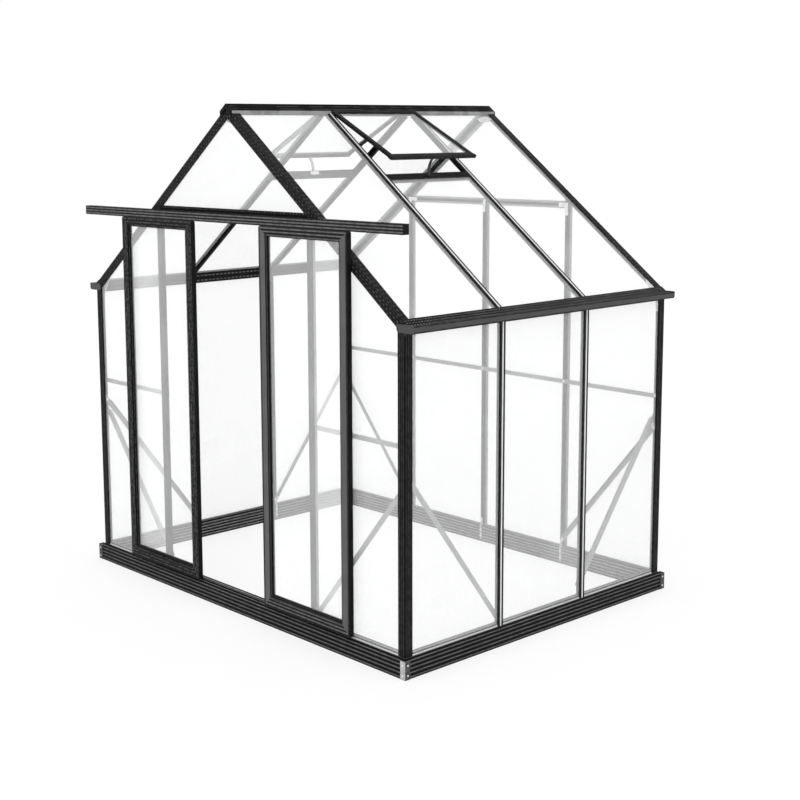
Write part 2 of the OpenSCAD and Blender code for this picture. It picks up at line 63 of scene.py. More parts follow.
# measures read from the frame, where points closer than this count as one
near = 0.0005
sideLow, sideHigh = corners("right_wall_posts")
rafterLow, rafterHigh = corners("rear_gable_rafters")
railLow, railHigh = corners("rear_middle_rail")
baseLow, baseHigh = corners("base_rear")
doorLow, doorHigh = corners("right_door_stiles")
doorPaneLow, doorPaneHigh = corners("right_door_panel")
tieLow = corners("rear_tie_rail")[0]
postHigh, bracketHigh, ridgeHigh, gutterHigh, studHigh, braceHigh, ventHigh = (
    corners(name)[1] for name in ("corner_posts", "base_corner_brackets", "ridge_bar", "right_eave_gutter",
                                  "rear_studs", "wall_braces", "vent_side_bars"))

wallX, wallY = postHigh.x, postHigh.y
cornerWidth = rafterHigh.y - rafterLow.y
halfCorner = cornerWidth / 2
barDepth = sideHigh.x - sideLow.x
gablePitch = (wallX - halfCorner) / 2   # centre lines of the bars across the gables
sidePitch = (wallY - halfCorner) * 2 / 3   # and along the side walls
sideY = sidePitch / 2
barWidth = studHigh.x * 2 - gablePitch * 2
barFace = wallY - barDepth   # inner faces of the bars in the end walls
sideFace = wallX - barDepth   # and in the side walls
baseTop = baseHigh.z
tieZ, frontTieZ = middleHeight("rear_tie_rail"), middleHeight("front_tie_rail")
railZ = middleHeight("rear_middle_rail")
ridgeZ = rafterHigh.z
eaveZ = max(point.z for point in points("rear_gable_rafters") if abs(point.x - wallX) < near)
roofFall = (ridgeZ - eaveZ) / wallX
roofSteep = math.hypot(1, roofFall)
troughFrom = wallX + 0.02   # the gutter's trough lies beyond this
troughHeights = [point.z for point in points("right_eave_gutter") if point.x > troughFrom]
gutterFloor, gutterLip = min(troughHeights), max(troughHeights)


def roofHeight(x, depth=0):
    return ridgeZ - roofFall * abs(x) - depth * roofSteep


# steps in building a node tree
def addNode(tree, kind, **settings):
    node = tree.nodes.new(kind)
    for key, value in settings.items():
        setattr(node, key, value)
    return node


def feed(tree, socket, value):
    if isinstance(value, bpy.types.NodeSocket):
        tree.links.new(value, socket)
    else:
        socket.default_value = value


def calc(tree, operation, *values):
    node = addNode(tree, "ShaderNodeMath", operation=operation)
    for socket, value in zip(node.inputs, values):
        feed(tree, socket, value)
    return node.outputs[0]


def times(tree, first, second):
    return calc(tree, "MULTIPLY", first, second)


def minus(tree, first, second):
    return calc(tree, "SUBTRACT", first, second)


def above(tree, value, limit):
    return calc(tree, "GREATER_THAN", value, limit)


def ramp(tree, value, low, high, start=0.0, end=1.0):
    node = addNode(tree, "ShaderNodeMapRange", interpolation_type="SMOOTHSTEP")
    labels = ("Value", "From Min", "From Max", "To Min", "To Max")
    for label, number in zip(labels, (value, low, high, start, end)):
        feed(tree, node.inputs[label], number)
    return node.outputs["Result"]


def mixColours(tree, share, first, second):
    node = addNode(tree, "ShaderNodeMix", data_type="RGBA")
    feed(tree, node.inputs["Factor"], share)
    feed(tree, node.inputs[6], first)
    feed(tree, node.inputs[7], second)
    return node.outputs[2]


def either(tree, switch, yes, no):   # the first where the switch is 1, the second where it is 0
    return calc(tree, "ADD", times(tree, yes, switch), times(tree, no, minus(tree, 1, switch)))


def fromNearest(tree, value, pitch):   # how far a value lies from the nearest whole number of pitches
    nearest = calc(tree, "ROUND", calc(tree, "DIVIDE", value, pitch))
    return minus(tree, value, times(tree, nearest, pitch))


def split(tree, vector):
    node = addNode(tree, "ShaderNodeSeparateXYZ")
    tree.links.new(vector, node.inputs[0])
    return node.outputs


def sizeOf(tree, vector, axis):
    return calc(tree, "ABSOLUTE", split(tree, vector)[axis])


def startGroup(name, inputs, outputs):
    group = bpy.data.node_groups.new(name, "ShaderNodeTree")
    for label, kind, value in inputs:
        socket = group.interface.new_socket(name=label, in_out="INPUT", socket_type=kind)
        if value is not None:
            socket.default_value = value
    for label, kind in outputs:
        group.interface.new_socket(name=label, in_out="OUTPUT", socket_type=kind)
    return group, addNode(group, "NodeGroupInput"), addNode(group, "NodeGroupOutput")


def placeGroup(tree, group, **values):
    node = addNode(tree, "ShaderNodeGroup", node_tree=group)
    for label, value in values.items():
        feed(tree, node.inputs[label], value)
    return node


def startMaterial(name):
    material = bpy.data.materials.new(name)
    material.use_nodes = True
    tree = material.node_tree
    coordinates = addNode(tree, "ShaderNodeTexCoord").outputs
    return material, tree, tree.nodes["Principled BSDF"], coordinates["Object"], coordinates["Normal"]


def addBump(tree, shader, height, strength):
    bump = addNode(tree, "ShaderNodeBump")
    bump.inputs["Strength"].default_value = strength
    tree.links.new(height, bump.inputs["Height"])
    tree.links.new(bump.outputs[0], shader.inputs["Normal"])


def roughen(tree, shader, grain, low, high):   # rougher where the peel stands out
    roughness = ramp(tree, grain.outputs["Height"], *grainFade["peel"], low, high)
    tree.links.new(roughness, shader.inputs["Roughness"])


def grey(level, blue=None):   # plain, or with a little more blue
    return (level, level, level if blue is None else blue, 1)


# raised lines that run along an extrusion, counted out from its centre line
ribFade = {"Height": (0.35, 0.65), "Crest": (0.25, 0.55)}   # from full to none, in line widths
ribLines, ribIn, ribOut = startGroup(
    "ribLines",
    [("Across", "NodeSocketFloat", 0.0), ("Spacing", "NodeSocketFloat", 0.012),
     ("Width", "NodeSocketFloat", 0.004)],
    [("Height", "NodeSocketFloat"), ("Crest", "NodeSocketFloat")])
away = calc(ribLines, "ABSOLUTE", fromNearest(ribLines, ribIn.outputs["Across"], ribIn.outputs["Spacing"]))
widthsAway = calc(ribLines, "DIVIDE", away, ribIn.outputs["Width"])
for label, (low, high) in ribFade.items():
    ribLines.links.new(ramp(ribLines, widthsAway, low, high, 1, 0), ribOut.inputs[label])

# fine orange peel of a powder coat, and the dust that settles on it
grainDetail = {"Peel": 2, "Patches": 5, "Streak": 3}
grainFade = {"dust": (0.42, 0.7), "streaks": (0.4, 0.58), "peel": (0.3, 0.7)}
coatGrain, grainIn, grainOut = startGroup(
    "coatGrain",
    [("Place", "NodeSocketVector", None), ("Peel", "NodeSocketFloat", 900.0),
     ("Patches", "NodeSocketFloat", 6.0), ("Streak", "NodeSocketFloat", 40.0)],
    [("Height", "NodeSocketFloat"), ("Dust", "NodeSocketFloat"), ("Streaks", "NodeSocketFloat")])
noises = {}
for label, detail in grainDetail.items():
    noise = addNode(coatGrain, "ShaderNodeTexNoise")
    noise.inputs["Detail"].default_value = detail
    coatGrain.links.new(grainIn.outputs["Place"], noise.inputs["Vector"])
    coatGrain.links.new(grainIn.outputs[label], noise.inputs["Scale"])
    noises[label] = noise.outputs[0]
coatGrain.links.new(noises["Peel"], grainOut.inputs["Height"])
coatGrain.links.new(ramp(coatGrain, noises["Patches"], *grainFade["dust"]), grainOut.inputs["Dust"])
coatGrain.links.new(ramp(coatGrain, noises["Streak"], *grainFade["streaks"]), grainOut.inputs["Streaks"])

# distance from the centre line of the nearest upright bar, or of the rafter above it
barAcross, barIn, barOut = startGroup(
    "barAcross",
    [("Place", "NodeSocketVector", None), ("Facing", "NodeSocketVector", None)],
    [("Across", "NodeSocketFloat")])
spot = split(barAcross, barIn.outputs["Place"])
alongGable = fromNearest(barAcross, spot["X"], gablePitch)
alongSide = fromNearest(barAcross, minus(barAcross, spot["Y"], sideY), sidePitch)
face = barIn.outputs["Facing"]
onSide = above(barAcross, sizeOf(barAcross, face, "X"), sizeOf(barAcross, face, "Y"))
barAcross.links.new(either(barAcross, onSide, alongSide, alongGable), barOut.inputs["Across"])


# ways to measure across a piece, for the lines that run along it
def uprightAcross(tree, place, facing):
    return placeGroup(tree, barAcross, Place=place, Facing=facing).outputs["Across"]


def sideBarAcross(tree, place, facing):
    return placeGroup(tree, barAcross, Place=place, Facing=(1, 0, 0)).outputs["Across"]


def runAcross(tree, place, facing):
    return sizeOf(tree, place, "X")


def levelAcross(level):
    def across(tree, place, facing):
        return minus(tree, split(tree, place)["Z"], level)
    return across


topFrom = 0.5   # a face that looks up by more than this counts as a top


def facingUp(tree, facing):
    return above(tree, split(tree, facing)["Z"], topFrom)


def rafterAcross(tree, place, facing):
    fall = times(tree, sizeOf(tree, place, "X"), roofFall)
    lineHeight = minus(tree, ridgeZ - halfCorner * roofSteep, fall)
    depth = calc(tree, "DIVIDE", minus(tree, lineHeight, split(tree, place)["Z"]), roofSteep)
    inward = minus(tree, sizeOf(tree, place, "Y"), wallY - halfCorner)
    return either(tree, facingUp(tree, facing), inward, depth)


def stileAcross(tree, place, facing):
    doorMiddle, halfStile = (doorLow.x + doorHigh.x) / 2, (doorHigh.x - doorPaneHigh.x) / 2
    fromDoor = calc(tree, "ABSOLUTE", minus(tree, sizeOf(tree, place, "X"), doorMiddle))
    return minus(tree, fromDoor, (doorHigh.x - doorLow.x) / 2 - halfStile)


stileEdges = {"inner": 0.031, "apart": 0.060}   # the black edges of a stile whose grey face is painted sheen


def stileEdgeAcross(tree, place, facing):
    return calc(tree, "ADD", stileAcross(tree, place, facing), stileEdges["inner"])


def doorRailAcross(tree, place, facing):
    height = split(tree, place)["Z"]
    top, bottom = (doorHigh.z + doorPaneHigh.z) / 2, (doorLow.z + doorPaneLow.z) / 2
    upper = above(tree, height, (top + bottom) / 2)
    return minus(tree, height, either(tree, upper, top, bottom))


def outsideOf(tree, place):   # 1 beyond the wall planes and 0 within them
    return calc(tree, "MAXIMUM", above(tree, sizeOf(tree, place, "X"), wallX),
                above(tree, sizeOf(tree, place, "Y"), wallY))


baseRibs = {"spacing": 0.02, "outerFirst": 0.0095, "innerFirst": 0.0135, "innerSpacing": 0.018}


def baseAcross(tree, place, facing):   # by height on its sides, by distance from the walls on its top
    height = split(tree, place)["Z"]
    outer = minus(tree, height, baseRibs["outerFirst"])
    wider = baseRibs["spacing"] / baseRibs["innerSpacing"]   # as the inner ribs stand closer
    inner = times(tree, minus(tree, height, baseRibs["innerFirst"]), wider)
    fromWall = calc(tree, "MAXIMUM", minus(tree, sizeOf(tree, place, "X"), wallX),
                    minus(tree, sizeOf(tree, place, "Y"), wallY))
    onSides = either(tree, outsideOf(tree, place), outer, inner)
    return either(tree, facingUp(tree, facing), fromWall, onSides)


def strokesAlong(tree, place, axis, pitch, share):   # short strokes with gaps between them
    return placeGroup(tree, ribLines, Across=split(tree, place)[axis], Spacing=pitch,
                      Width=pitch * share).outputs["Crest"]


coatRules = {"outer": 0.5, "upright": 0.95, "edgeShareLow": 0.7, "dustRoughness": 0.12}


def makeCoat(name, look, acrossFrom):
    material, tree, shader, place, facing = startMaterial(name)
    ribs = placeGroup(tree, ribLines, Across=acrossFrom(tree, place, facing), Spacing=look["spacing"],
                      Width=look["width"])
    grain = placeGroup(tree, coatGrain, Place=place, Streak=look["streak"])
    whole = ramp(tree, grain.outputs["Streaks"], 0, 1, 1 - look["broken"], 1)
    dusty = times(tree, grain.outputs["Dust"], look["dustShare"])
    # plain is the coat's colour; the crest colour runs along the raised lines, and where it is lighter than
    # the coat it is a painted highlight
    plain, crest = mixColours(tree, dusty, look["colour"], look["dust"]), look["crest"]
    fades = [whole, look["crestShare"]]
    if look["dash"]:
        fades.append(strokesAlong(tree, place, *look["dash"]))
    if look["outerOnly"]:
        fades.append(above(tree, sizeOf(tree, facing, "Y"), coatRules["outer"]))
    if look["outerShare"] < 1:
        fades.append(ramp(tree, outsideOf(tree, place), 0, 1, 1, look["outerShare"]))
    if look["inside"]:
        inside, outside = look["inside"], outsideOf(tree, place)
        fades.append(calc(tree, "MAXIMUM", outside, strokesAlong(tree, place, *inside["dash"])))
        plain = mixColours(tree, outside, inside["colour"], plain)
        crest = mixColours(tree, outside, inside["crest"], crest)
    # another colour on the upright sides, in streaks; on the ridge it is a painted sheen
    if look["edge"]:
        upright = above(tree, sizeOf(tree, facing, "X"), coatRules["upright"])
        streakShare = ramp(tree, whole, 0, 1, coatRules["edgeShareLow"], 1)
        plain = mixColours(tree, times(tree, upright, streakShare), plain, look["edge"])
    shown = ribs.outputs["Crest"]
    for fade in fades:
        shown = times(tree, shown, fade)
    tree.links.new(mixColours(tree, shown, plain, crest), shader.inputs["Base Color"])
    roughness = ramp(tree, grain.outputs["Dust"], 0, 1, look["roughness"],
                     look["roughness"] + coatRules["dustRoughness"])
    tree.links.new(roughness, shader.inputs["Roughness"])
    shader.inputs["Specular IOR Level"].default_value = look["gloss"]
    height = calc(tree, "ADD", times(tree, ribs.outputs["Height"], look["ribHeight"]),
                  times(tree, grain.outputs["Height"], look["peelHeight"]))
    addBump(tree, shader, height, look["bump"])
    return material


# black powder coats, where a crest colour lighter than the coat is a painted highlight along the raised lines
blackLook = {
    "colour": grey(0.004, 0.0043), "crest": grey(0.060, 0.061), "dust": grey(0.008, 0.0083),
    "crestShare": 0.9, "dustShare": 0.5, "roughness": 0.5, "gloss": 0.05,
    "spacing": 0.0125, "width": 0.0055,   # of the lines
    "broken": 0.5, "streak": 40.0,   # how far they are broken up, and in how fine a pattern
    "dash": None,   # axis, pitch and share of the strokes that the lines are cut into
    "outerOnly": False,   # lines on the front and back faces alone
    "outerShare": 1,   # below 1, lines are fainter on the outside
    "inside": None,   # other colours and strokes on the faces inside the walls
    "edge": None,   # another colour on the upright sides
    "ribHeight": 0.0006, "peelHeight": 0.00003, "bump": 0.7,
}
dashShare = 0.62
blackBars = makeCoat("blackBars", blackLook, uprightAcross)
blackSideBars = makeCoat("blackSideBars", blackLook, sideBarAcross)
blackVents = makeCoat("blackVents", dict(blackLook, crestShare=0.4), runAcross)

rafterLook = dict(blackLook, colour=grey(0.012, 0.0125), crest=grey(0.085, 0.087), spacing=0.0155,
                  width=0.0075, broken=0.7, streak=60.0, dash=("X", 0.022, dashShare))
blackRafters = makeCoat("blackRafters", rafterLook, rafterAcross)

tieLines = 0.013   # the two lines of a tie rail lie this far from its middle
rearTieLook = dict(blackLook, crest=grey(0.22, 0.223), spacing=0.026, width=0.009, broken=0.3,
                   dash=("X", 0.024, dashShare))
frontTieLook = dict(rearTieLook, crest=grey(0.10, 0.102), broken=0.7)
blackRearTie = makeCoat("blackRearTie", rearTieLook, levelAcross(tieZ + tieLines))
blackFrontTie = makeCoat("blackFrontTie", frontTieLook, levelAcross(frontTieZ + tieLines))

# the base's pale lines are painted highlights on its ribs
baseLook = dict(blackLook, crest=grey(0.42, 0.425), outerShare=0.4, spacing=baseRibs["spacing"],
                width=0.0075, ribHeight=0, broken=0.25, streak=30.0)
blackBase = makeCoat("blackBase", baseLook, baseAcross)

gutterLine = 0.005   # the line along the gutter lies this far under its lip
gutterInside = {"colour": grey(0.006, 0.0063), "crest": grey(0.16, 0.163), "dash": ("Y", 0.029, 0.8)}
gutterLook = dict(blackLook, colour=grey(0.070, 0.072), crest=grey(0.006), dust=grey(0.100, 0.102),
                  spacing=0.0285, width=0.009, broken=0.35, gloss=0.1, inside=gutterInside)
blackGutters = makeCoat("blackGutters", gutterLook, levelAcross(gutterLip - gutterLine))

cappingLook = dict(blackLook, colour=grey(0.012, 0.0125), crest=grey(0.190, 0.193), spacing=0.012,
                   width=0.006, dash=("Y", 0.018, dashShare))
blackCappings = makeCoat("blackCappings", cappingLook, runAcross)

# the grey on the ridge's upright sides is a painted sheen, broken up by streaks
ridgeLook = dict(blackLook, colour=grey(0.003, 0.0032), crest=grey(0.07, 0.072), dust=grey(0.006),
                 spacing=0.017, width=0.005, broken=0.8, streak=12.0, gloss=0.02, edge=grey(0.34, 0.345))
blackRidge = makeCoat("blackRidge", ridgeLook, runAcross)

frontLook = dict(blackLook, colour=grey(0.008, 0.0084), crest=grey(0.160, 0.163), dust=grey(0.014, 0.0145),
                 spacing=0.0145, width=0.0085, gloss=0.08, outerOnly=True, broken=0.35, streak=45.0)
railSpacing = 0.017
blackTrack = makeCoat("blackTrack", frontLook, levelAcross(middleHeight("door_track")))
blackDoorRails = makeCoat("blackDoorRails", dict(frontLook, spacing=railSpacing), doorRailAcross)

# the right door's stiles are black, with a painted grey sheen on their faces; the left door's are the same
# parts without it
sheenStileLook = dict(frontLook, colour=grey(0.105, 0.107), crest=grey(0.006), dust=grey(0.150, 0.152),
                     spacing=stileEdges["apart"], width=0.024, outerOnly=False, broken=0.1, edge=grey(0.006))
blackStiles = makeCoat("blackStiles", sheenStileLook, stileEdgeAcross)

leftDoorLook = dict(frontLook, colour=grey(0.006, 0.0063), crest=grey(0.085, 0.087), broken=0.9, streak=60.0)
leftStiles = makeCoat("leftStiles", leftDoorLook, stileAcross)
leftDoorRails = makeCoat("leftDoorRails", dict(leftDoorLook, spacing=railSpacing), doorRailAcross)

# clear sheets with faint flutes, and a painted glow
sheetLook = {"colour": (0.98, 0.985, 0.985, 1), "fluteColour": (0.95, 0.955, 0.96, 1), "glow": 0.115,
             "veil": 0.19, "veilRange": 0.015, "fluteShare": 0.03, "roughness": 0.22, "roughest": 0.30,
             "peel": 60.0, "patches": 2.0, "pitch": 0.006, "fluteHeight": 0.00012, "bump": 0.4}


def makeSheet(name, look, axis):
    material, tree, shader, place, _ = startMaterial(name)
    flutes = placeGroup(tree, ribLines, Across=split(tree, place)[axis], Spacing=look["pitch"],
                        Width=look["pitch"] / 2)
    haze = placeGroup(tree, coatGrain, Place=place, Peel=look["peel"], Patches=look["patches"])
    veil = calc(tree, "ADD", times(tree, flutes.outputs["Crest"], look["fluteShare"]),
                ramp(tree, haze.outputs["Dust"], 0, 1, look["veil"] - look["veilRange"],
                     look["veil"] + look["veilRange"]))
    tree.links.new(veil, shader.inputs["Alpha"])
    roughen(tree, shader, haze, look["roughness"], look["roughest"])
    tint = mixColours(tree, flutes.outputs["Crest"], look["colour"], look["fluteColour"])
    tree.links.new(tint, shader.inputs["Base Color"])
    tree.links.new(tint, shader.inputs["Emission Color"])   # painted glow, standing in for daylight that the sheet spreads
    shader.inputs["Emission Strength"].default_value = look["glow"]
    height = times(tree, flutes.outputs["Height"], look["fluteHeight"])
    addBump(tree, shader, height, look["bump"])
    return material


gableSheet = makeSheet("gableSheet", sheetLook, "X")
sideSheet = makeSheet("sideSheet", sheetLook, "Y")

# bare metal, plastic and rubber
metalLook = {"peel": 400.0, "patches": 30.0, "darker": 0.7, "soil": 0.6, "smoother": 0.06, "rougher": 0.1,
             "peelHeight": 0.00004, "bump": 0.3}


def addPeel(tree, shader, grain, low, high):
    roughen(tree, shader, grain, low, high)
    addBump(tree, shader, times(tree, grain.outputs["Height"], metalLook["peelHeight"]), metalLook["bump"])


def makeMetal(name, colour, roughness, metallic=0.0):
    material, tree, shader, place, _ = startMaterial(name)
    grain = placeGroup(tree, coatGrain, Place=place, Peel=metalLook["peel"], Patches=metalLook["patches"])
    darker = tuple(metalLook["darker"] * part for part in colour[:3]) + (1,)
    soil = times(tree, grain.outputs["Dust"], metalLook["soil"])
    tree.links.new(mixColours(tree, soil, colour, darker), shader.inputs["Base Color"])
    addPeel(tree, shader, grain, roughness - metalLook["smoother"], roughness + metalLook["rougher"])
    shader.inputs["Metallic"].default_value = metallic
    return material


brightMetal = makeMetal("brightMetal", grey(0.90, 0.91), roughness=0.4, metallic=0.3)
greyMetal = makeMetal("greyMetal", grey(0.28, 0.285), roughness=0.4)
stripMetal = makeMetal("stripMetal", grey(0.50, 0.51), roughness=0.45, metallic=0.2)
darkBolt = makeMetal("darkBolt", grey(0.035, 0.037), roughness=0.4, metallic=0.3)
endCapPlastic = makeMetal("endCapPlastic", grey(0.045, 0.046), roughness=0.5)
blackRubber = makeMetal("blackRubber", grey(0.012), roughness=0.6)
sillTrim = makeMetal("sillTrim", (0.72, 0.73, 0.74, 1), roughness=0.5)

# a black strip with a painted highlight line down it, and brackets with a painted highlight on one leg, both
# with pale specks
twoPartLook = {"peel": 500.0, "patches": 20.0, "soil": 0.5, "roughness": (0.4, 0.55), "gloss": 0.2}


def makeTwoPart(name, look, maskFrom):
    material, tree, shader, place, facing = startMaterial(name)
    grain = placeGroup(tree, coatGrain, Place=place, Peel=twoPartLook["peel"], Patches=twoPartLook["patches"],
                       Streak=look["streak"])
    streakShare = times(tree, grain.outputs["Streaks"], look["specks"])
    soil = times(tree, grain.outputs["Dust"], twoPartLook["soil"])
    dark = mixColours(tree, streakShare, look["dark"], look["pale"])
    pale = mixColours(tree, soil, look["pale"], look["soiled"])
    tree.links.new(mixColours(tree, maskFrom(tree, place, facing), dark, pale), shader.inputs["Base Color"])
    addPeel(tree, shader, grain, *twoPartLook["roughness"])
    shader.inputs["Specular IOR Level"].default_value = twoPartLook["gloss"]
    return material


stripLook = {"dark": grey(0.006), "pale": grey(0.95, 0.955), "soiled": grey(0.75, 0.76), "streak": 30.0,
             "specks": 0.02, "highlightTo": (0.0012, 0.0018)}   # painted highlight on one side, to just past the middle


# painted highlight: pale along one side of the strip, black on the other
def paintedHighlightLine(tree, place, facing):
    return ramp(tree, sideBarAcross(tree, place, facing), *stripLook["highlightTo"], 1, 0)


# dark zinc brackets; the pale colour is a painted highlight on one leg
bracketLook = {"dark": grey(0.030, 0.031), "pale": grey(0.55, 0.56), "soiled": grey(0.05, 0.052),
               "streak": 120.0, "specks": 0.12, "facing": -0.5}


def paintedHighlightLeg(tree, place, facing):   # painted highlight, only at the right front corner, on the leg that faces forwards
    spot = split(tree, place)
    rightFront = above(tree, minus(tree, spot["X"], spot["Y"]), wallX)
    forwards = calc(tree, "LESS_THAN", split(tree, facing)["Y"], bracketLook["facing"])
    return times(tree, rightFront, forwards)


stripPaintedHighlight = makeTwoPart("stripPaintedHighlight", stripLook, paintedHighlightLine)
darkZincAndHighlight = makeTwoPart("darkZincAndHighlight", bracketLook, paintedHighlightLeg)

finishes = {
    blackBars: ["corner_posts", "door_jambs", "rear_studs"],
    blackSideBars: ["left_wall_posts", "right_wall_posts", "left_roof_rafters", "right_roof_rafters"],
    blackRafters: ["front_gable_rafters", "rear_gable_rafters"],
    blackFrontTie: ["front_tie_rail"],
    blackRearTie: ["rear_tie_rail"],
    blackBase: ["base_front", "base_rear", "base_left", "base_right"],
    blackGutters: ["left_eave_gutter", "right_eave_gutter"],
    blackCappings: ["eave_cappings"],
    blackRidge: ["ridge_bar"],
    blackVents: ["vent_side_bars", "vent_end_bars", "vent_sills"],
    blackTrack: ["door_track"],
    blackStiles: ["right_door_stiles"],
    blackDoorRails: ["right_door_rails"],
    leftStiles: ["left_door_stiles"],
    leftDoorRails: ["left_door_rails"],
    gableSheet: ["front_panels", "rear_panels", "left_door_panel", "right_door_panel"],
    sideSheet: ["left_wall_panels", "right_wall_panels", "left_roof_panels", "right_roof_panels",
                "vent_panels"],
    greyMetal: ["front_middle_rails", "rear_middle_rail", "wall_braces"],
    darkZincAndHighlight: ["base_corner_brackets"],
    brightMetal: ["gable_plates", "left_door_hangers", "right_door_hangers", "vent_stays"],
    stripPaintedHighlight: ["bar_cap_strips"],
}
for finish, names in finishes.items():
    for name in names:
        for slot in nodes[name].material_slots:
            slot.material = finish
print("finishes set on the frame")


# steps in modelling a fitting
def only(*pieces):
    bpy.ops.object.select_all(action="DESELECT")
    for piece in pieces:
        piece.select_set(True)
    bpy.context.view_layer.objects.active = pieces[0]


def settle(piece, name):
    piece.name = name
    bpy.ops.object.transform_apply(location=True, rotation=True, scale=True)
    return piece


def moveTo(piece, place):
    piece.matrix_world = place
    only(piece)
    return settle(piece, piece.name)


def startBlock(name, low, high):
    bpy.ops.mesh.primitive_cube_add(size=1, location=[(a + b) / 2 for a, b in zip(low, high)])
    piece = bpy.context.active_object
    piece.scale = [b - a for a, b in zip(low, high)]
    return settle(piece, name)


def startDisc(name, sides, radius, bottom, top):
    bpy.ops.mesh.primitive_cylinder_add(vertices=sides, radius=radius, depth=top - bottom,
                                        location=(0, 0, (bottom + top) / 2))
    return settle(bpy.context.active_object, name)


def shaping(piece):
    only(piece)
    bpy.ops.object.mode_set(mode="EDIT")


def shaped():
    bpy.ops.object.mode_set(mode="OBJECT")


def pick(piece, kind, test):   # the faces or edges that pass the test, and no others
    bpy.ops.mesh.select_mode(type=kind)
    bpy.ops.mesh.select_all(action="DESELECT")
    shape = bmesh.from_edit_mesh(piece.data)
    for part in shape.faces if kind == "FACE" else shape.edges:
        if test(part):
            part.select_set(True)
    bmesh.update_edit_mesh(piece.data)


def middleOf(part):
    return sum((corner.co for corner in part.verts), Vector()) / len(part.verts)


up, outward = Vector((0, 0, 1)), Vector((0, 1, 0))
alike = {"face": 0.9, "edge": 0.99, "slot": 0.99}   # how well a direction has to match
hair = 0.0001   # slack when a place is compared


def pickFaces(piece, direction, where=None):   # those that look that way, in the places that pass the test
    pick(piece, "FACE", lambda face: face.normal.dot(direction) > alike["face"]
         and (where is None or where(middleOf(face))))


def pickEdges(piece, axis, where):   # those along an axis, in the places that pass the test
    pick(piece, "EDGE", lambda edge: where(middleOf(edge)) and abs(getattr(
        (edge.verts[0].co - edge.verts[1].co).normalized(), axis)) > alike["edge"])


def pushOut(*value):
    bpy.ops.mesh.extrude_region_move(TRANSFORM_OT_translate={"value": value})


def insetBy(width, move=None):   # the inner face is then moved, where a move is given
    bpy.ops.mesh.inset(thickness=width)
    if move:
        bpy.ops.transform.translate(value=move)


def roundOff(size, segments=3):
    bpy.ops.mesh.bevel(offset=size, segments=segments)


def cutAway(point, normal):
    bpy.ops.mesh.select_all(action="SELECT")
    bpy.ops.mesh.bisect(plane_co=point, plane_no=normal, use_fill=True, clear_outer=True)


def mirrorPiece(piece, x, y):
    only(piece)
    mirror = piece.modifiers.new("mirror", "MIRROR")
    mirror.use_axis = (x, y, False)
    mirror.use_mirror_merge = False
    bpy.ops.object.modifier_apply(modifier=mirror.name)


def joinTo(first, *others):
    only(first, *others)
    if others:
        bpy.ops.object.join()
    return first


def copiesTo(master, name, places):   # each copy with its own mesh, joined into one piece
    copies = []
    for place in places:
        copy = master.copy()
        copy.data = master.data.copy()
        bpy.context.collection.objects.link(copy)
        copy.matrix_world = place
        copies.append(copy)
    only(*copies)
    bpy.ops.object.transform_apply(location=True, rotation=True, scale=True)
    joinTo(*copies)
    copies[0].name = name
    return copies[0]


def discard(*masters):
    for master in masters:
        bpy.data.objects.remove(master)


finishing = {"merge": 0.00002, "smoothAngle": 35}


def finishPiece(piece, material, body="building"):
    shaping(piece)
    bpy.ops.mesh.select_all(action="SELECT")
    bpy.ops.mesh.remove_doubles(threshold=finishing["merge"])
    bpy.ops.mesh.normals_make_consistent(inside=False)
    shaped()
    bpy.ops.object.shade_smooth_by_angle(angle=math.radians(finishing["smoothAngle"]))
    piece.data.materials.clear()
    piece.data.materials.append(material)
    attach(piece, body)


def turnedTo(point, direction):
    return Matrix.Translation(point) @ Vector(direction).to_track_quat("Z", "Y").to_matrix().to_4x4()


def fourWays(x, y, z):   # the same place at both sides and both ends
    return [(a * x, b * y, z) for a in (-1, 1) for b in (-1, 1)]


def averageHeight(name, test):
    heights = [point.z for point in points(name) if test(point)]
    return sum(heights) / len(heights)


screwLook = {"sides": 14, "radius": 0.0045, "height": 0.0016, "dome": 0.0008, "rim": 0.0012, "socket": 0.0014}
screwMaster = startDisc("screw", screwLook["sides"], screwLook["radius"], 0, screwLook["height"])
shaping(screwMaster)
pickFaces(screwMaster, up)
insetBy(screwLook["rim"], (0, 0, screwLook["dome"]))
insetBy(screwLook["rim"])
pushOut(0, 0, -screwLook["socket"])
shaped()

boltLook = {"washerSides": 16, "washerRadius": 0.0068, "washerHeight": 0.0012, "washerEdge": 0.0004,
            "nutSides": 6, "nutRadius": 0.0056, "nutTop": 0.0042, "nutEdge": 0.0008, "nutDome": 0.00048,
            "shankInset": 0.0014, "shankOut": 0.0022, "shankEdge": 0.0004}
washerHeight = boltLook["washerHeight"]
boltMaster = startDisc("washer", boltLook["washerSides"], boltLook["washerRadius"], 0, washerHeight)
shaping(boltMaster)
pick(boltMaster, "EDGE", lambda edge: all(corner.co.z > washerHeight / 2 for corner in edge.verts))
roundOff(boltLook["washerEdge"], 1)
shaped()
nut = startDisc("nut", boltLook["nutSides"], boltLook["nutRadius"], washerHeight, boltLook["nutTop"])
shaping(nut)
pickFaces(nut, up)
insetBy(boltLook["nutEdge"], (0, 0, boltLook["nutDome"]))
insetBy(boltLook["shankInset"])
pushOut(0, 0, boltLook["shankOut"])
insetBy(boltLook["shankEdge"], (0, 0, boltLook["shankEdge"]))
shaped()
joinTo(boltMaster, nut)


def boltsAt(spots, direction=-outward):
    return copiesTo(boltMaster, "bolts", [turnedTo(spot, direction) for spot in spots])


bracketScrews = {"fromCorner": 0.017, "heights": (0.020, 0.068)}
places = []
for height in bracketScrews["heights"]:
    for x, y, z in fourWays(bracketHigh.x - bracketScrews["fromCorner"], bracketHigh.y, height):
        places.append(turnedTo((x, y, z), (0, y, 0)))
    for x, y, z in fourWays(bracketHigh.x, bracketHigh.y - bracketScrews["fromCorner"], height):
        places.append(turnedTo((x, y, z), (x, 0, 0)))
finishPiece(copiesTo(screwMaster, "bracket_screws", places), brightMetal)

